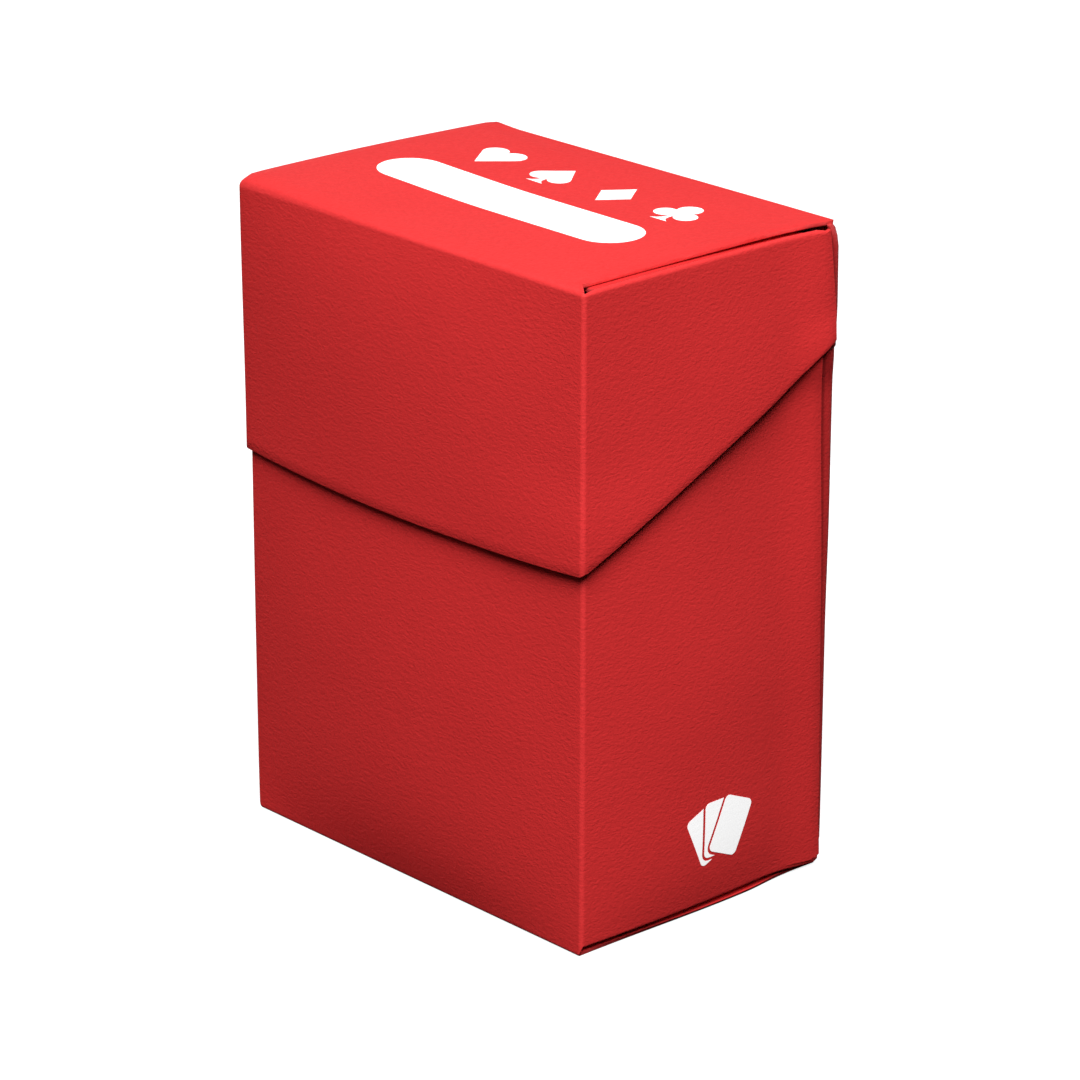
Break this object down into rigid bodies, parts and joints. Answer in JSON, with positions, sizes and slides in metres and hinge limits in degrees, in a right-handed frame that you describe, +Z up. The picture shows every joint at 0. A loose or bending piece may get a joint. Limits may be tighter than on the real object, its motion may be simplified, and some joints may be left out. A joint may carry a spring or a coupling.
{
  "type": "card deck box",
  "caption": "Folded plastic deck box for collectible cards, with a hinged overlapping lid, slanted side edge, write-on label and a loose divider.",
  "frame": {"origin": "middle of the box's footprint, at the height of the surface it stands on", "axes": "+Z up along the tall side, -Y towards the front that the lid's flap covers, +X towards the side wall that carries the printed mark; the hinge runs along X at the back"},
  "size_m": [0.071, 0.0486, 0.0961],
  "materials": {
    "red_sheet": "matte, fine embossed grain",
    "white_ink": "smooth printed ink",
    "divider_sheet": "frosted sheet"
  },
  "bodies": {
    "body": {"body_front_panel": "red_sheet", "body_left_side_panel": "red_sheet", "body_right_side_panel": "red_sheet", "body_back_panel": "red_sheet", "body_floor_panel": "red_sheet", "body_left_floor_flap": "red_sheet", "body_right_floor_flap": "red_sheet", "body_left_glue_flap": "red_sheet", "body_right_glue_flap": "red_sheet", "hinge_crease": "red_sheet", "side_print_card_1": "white_ink", "side_print_card_2": "white_ink", "side_print_card_3": "white_ink"},
    "lid": {"lid_front_panel": "red_sheet", "lid_left_side_panel": "red_sheet", "lid_right_side_panel": "red_sheet", "lid_top_panel": "red_sheet", "lid_back_panel": "red_sheet", "lid_left_top_flap": "red_sheet", "lid_right_top_flap": "red_sheet", "lid_left_glue_flap": "red_sheet", "lid_right_glue_flap": "red_sheet", "write_on_label": "white_ink", "top_print_heart": "white_ink", "top_print_spade": "white_ink", "top_print_diamond": "white_ink", "top_print_club": "white_ink"},
    "divider": {"divider": "divider_sheet"}
  },
  "joints": [
    {"name": "lid_hinge", "type": "hinge", "parent": "body", "child": "lid", "pos_m": [0, 0.0243, 0.0785], "axis": [-1, 0, 0], "range_deg": [0, 165]},
    {"name": "divider_slide", "type": "slide", "parent": "body", "child": "divider", "axis": [0, 1, 0], "range_m": [-0.02, 0.021]}
  ]
}
